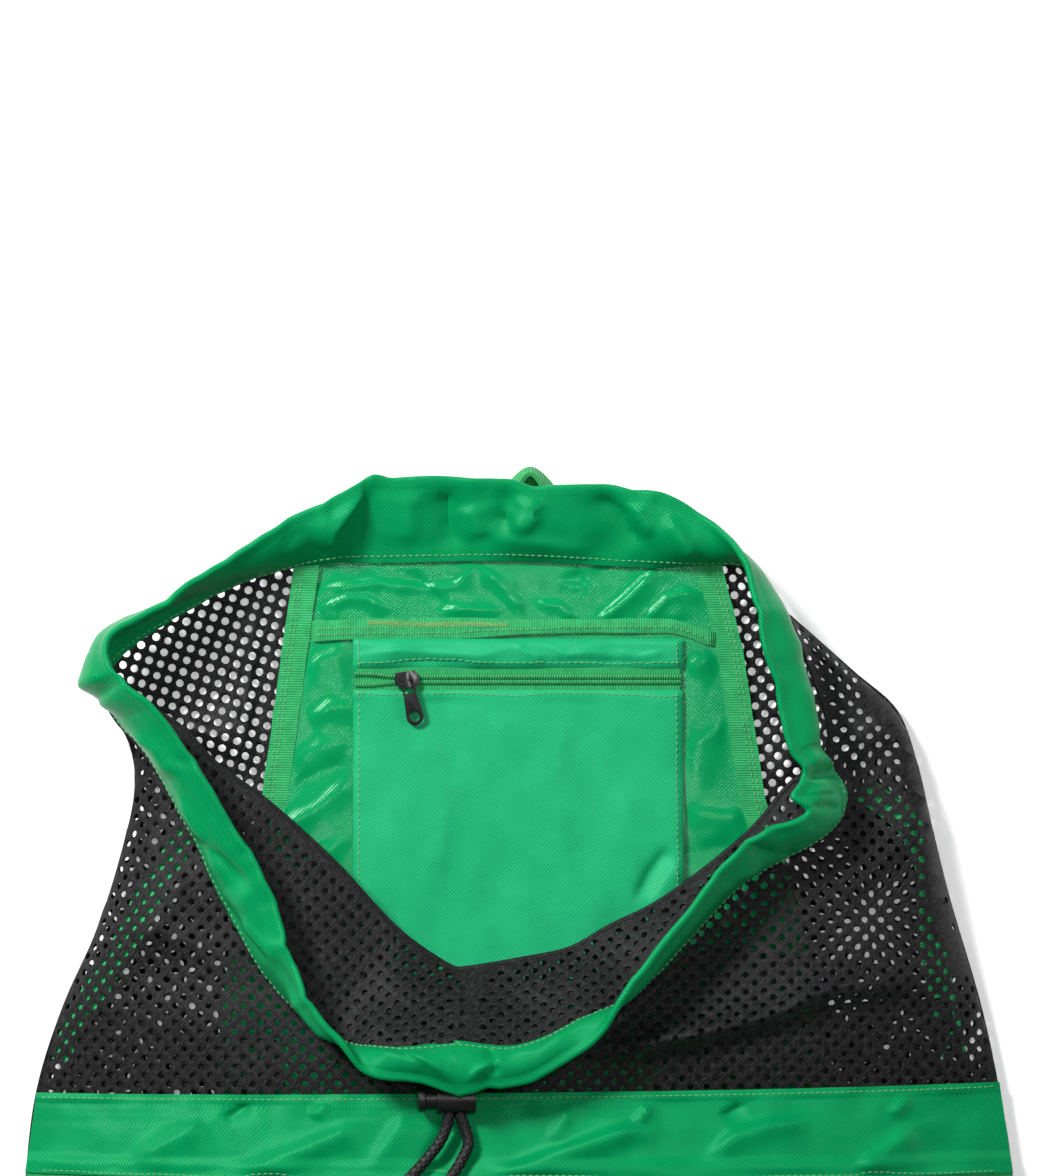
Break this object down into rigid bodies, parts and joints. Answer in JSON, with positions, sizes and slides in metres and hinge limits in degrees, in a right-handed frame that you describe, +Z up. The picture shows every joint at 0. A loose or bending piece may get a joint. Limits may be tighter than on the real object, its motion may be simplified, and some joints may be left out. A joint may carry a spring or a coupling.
{
  "type": "mesh equipment backpack",
  "caption": "Soft drawstring backpack of holed mesh with plain cloth back, front zip pocket, inner pockets and a cord lock, lying open on its back.",
  "frame": {"origin": "under the middle of the bag, on the surface it lies on", "axes": "+Y from the bag's bottom towards its mouth, +Z up from the back it lies on, +X to the right seen from above"},
  "size_m": [0.4527, 0.6103, 0.0796],
  "materials": {
    "green_nylon": "satin twill",
    "green_tape": "ribbed weave",
    "green_zip": "woven tape and nylon coil",
    "black_mesh": "holed knit",
    "black_cord": "braided",
    "black_metal": "satin enamel",
    "black_plastic": "fine moulded",
    "green_webbing": "woven"
  },
  "bodies": {
    "bag": {"back_panel": "green_nylon", "slip_pocket": "green_nylon", "zip_pocket_band": "green_nylon", "zip_pocket_panel": "green_nylon", "front_pocket_band": "green_nylon", "front_pocket_panel": "green_nylon", "bottom_panel": "green_nylon", "collar": "green_nylon", "binding_left": "green_tape", "binding_right": "green_tape", "slip_binding": "green_tape", "side_tape_left": "green_tape", "side_tape_right": "green_tape", "inner_zip": "green_zip", "front_zip": "green_zip", "gusset_left": "black_mesh", "gusset_right": "black_mesh", "front_mesh": "black_mesh", "drawcord_loop": "black_cord", "cord_tail_left": "black_cord", "cord_tail_right": "black_cord", "cord_knot": "black_cord", "inner_slider": "black_metal", "front_slider": "black_metal", "cord_lock_barrel": "black_plastic", "strap_left": "green_webbing", "strap_right": "green_webbing", "grab_loop": "green_webbing"},
    "inner_pull": {"inner_pull": "black_metal"},
    "front_pull": {"front_pull": "black_metal"},
    "lock_plunger": {"cord_lock_plunger": "black_plastic"}
  },
  "joints": [
    {"name": "inner_pull_hinge", "type": "hinge", "parent": "bag", "child": "inner_pull", "pos_m": [-0.0505, 0.2085, 0.01375], "axis": [-0.9759, -0.2182, 0], "range_deg": [0, 160]},
    {"name": "front_pull_hinge", "type": "hinge", "parent": "bag", "child": "front_pull", "pos_m": [0.11236, -0.017, 0.0533], "axis": [-0.9823, 0, 0.1872], "range_deg": [0, 150]},
    {"name": "lock_plunger_slide", "type": "slide", "parent": "bag", "child": "lock_plunger", "axis": [1, 0, 0], "range_m": [0, 0.0035], "stiffness_N_per_m": 600}
  ]
}
